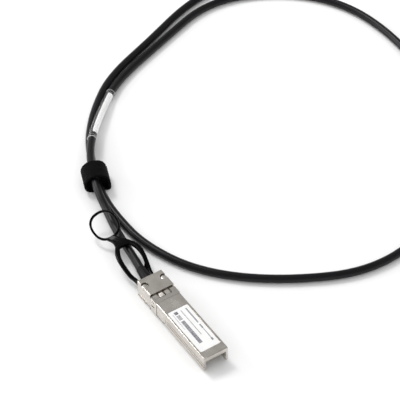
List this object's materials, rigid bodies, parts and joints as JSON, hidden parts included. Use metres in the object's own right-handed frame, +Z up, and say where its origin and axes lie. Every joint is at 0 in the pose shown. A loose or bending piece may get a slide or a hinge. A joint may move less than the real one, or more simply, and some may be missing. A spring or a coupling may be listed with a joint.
{
  "type": "direct attach copper cable",
  "caption": "Passive direct attach copper cable: about a metre of black twin-axial cable coiled under a fabric tie, with a die-cast pluggable end and a black pull tab at each end",
  "frame": {"origin": "On plug A's axis at the front face of its rear block, at the height of the table the part lies on", "axes": "+Y runs along plug A from its nose towards the cable, +Z is up from the table"},
  "size_m": [0.2678, 0.2544, 0.0123],
  "materials": {
    "cast_zinc": "satin nickel-plated zinc casting",
    "spring_steel": "bright plated spring strip",
    "sheet_steel": "plated sheet",
    "pin_steel": "plated",
    "tab_plastic": "satin moulding",
    "card_board": "solder mask",
    "gold": "bright plated",
    "chip_body": "moulded epoxy",
    "core_insulation": "extruded",
    "tinned_copper": "tinned",
    "crimp_brass": "plated crimp",
    "boot_rubber": "matte",
    "label_paper": "semi-gloss film",
    "cable_jacket": "satin extruded jacket",
    "hook_loop_fabric": "fuzzy loop pile",
    "clear_sleeve": "clear shrink sleeve"
  },
  "bodies": {
    "body": {"plug_a_base_shell": "cast_zinc", "plug_a_cover_shell": "cast_zinc", "plug_a_spring_collar": "spring_steel", "plug_a_pivot_pin": "sheet_steel", "plug_a_return_spring": "spring_steel", "plug_a_paddle_card": "card_board", "plug_a_contact_pads": "gold", "plug_a_memory_chip": "chip_body", "plug_a_twinax_cores": "core_insulation", "plug_a_conductor_ends": "tinned_copper", "plug_a_ferrule": "crimp_brass", "plug_a_boot": "boot_rubber", "plug_a_cover_pins": "pin_steel", "plug_a_label": "label_paper", "plug_b_base_shell": "cast_zinc", "plug_b_cover_shell": "cast_zinc", "plug_b_spring_collar": "spring_steel", "plug_b_pivot_pin": "sheet_steel", "plug_b_return_spring": "spring_steel", "plug_b_paddle_card": "card_board", "plug_b_contact_pads": "gold", "plug_b_memory_chip": "chip_body", "plug_b_twinax_cores": "core_insulation", "plug_b_conductor_ends": "tinned_copper", "plug_b_ferrule": "crimp_brass", "plug_b_boot": "boot_rubber", "plug_b_cover_pins": "pin_steel", "plug_b_label": "label_paper", "cable": "cable_jacket", "tie": "hook_loop_fabric", "label_sleeve": "clear_sleeve", "wire_label": "label_paper"},
    "plug_a_slide_body": {"plug_a_release_slide": "sheet_steel", "plug_a_pull_tab": "tab_plastic"},
    "plug_a_lever_body": {"plug_a_latch_lever": "sheet_steel"},
    "plug_b_slide_body": {"plug_b_release_slide": "sheet_steel", "plug_b_pull_tab": "tab_plastic"},
    "plug_b_lever_body": {"plug_b_latch_lever": "sheet_steel"}
  },
  "joints": [
    {"name": "plug_a_release", "type": "slide", "parent": "body", "child": "plug_a_slide_body", "axis": [0, 1, 0], "range_m": [0, 0.002], "stiffness_N_per_m": 800, "springref_m": -0.001},
    {"name": "plug_a_latch", "type": "hinge", "parent": "body", "child": "plug_a_lever_body", "pos_m": [0, -0.014, 0.0016], "axis": [1, 0, 0], "range_deg": [0, 3], "deforming": ["plug_a_return_spring"]},
    {"name": "plug_b_release", "type": "slide", "parent": "body", "child": "plug_b_slide_body", "axis": [-0.866, 0.5, 0], "range_m": [0, 0.002], "stiffness_N_per_m": 800, "springref_m": -0.001},
    {"name": "plug_b_latch", "type": "hinge", "parent": "body", "child": "plug_b_lever_body", "pos_m": [0.22812, 0.165, 0.0016], "axis": [0.5, 0.866, 0], "range_deg": [0, 3], "deforming": ["plug_b_return_spring"]}
  ],
  "couplings": [
    {"joint": "plug_a_latch", "follows": "plug_a_release", "rad_per_m": 24.4},
    {"joint": "plug_b_latch", "follows": "plug_b_release", "rad_per_m": 24.4}
  ]
}
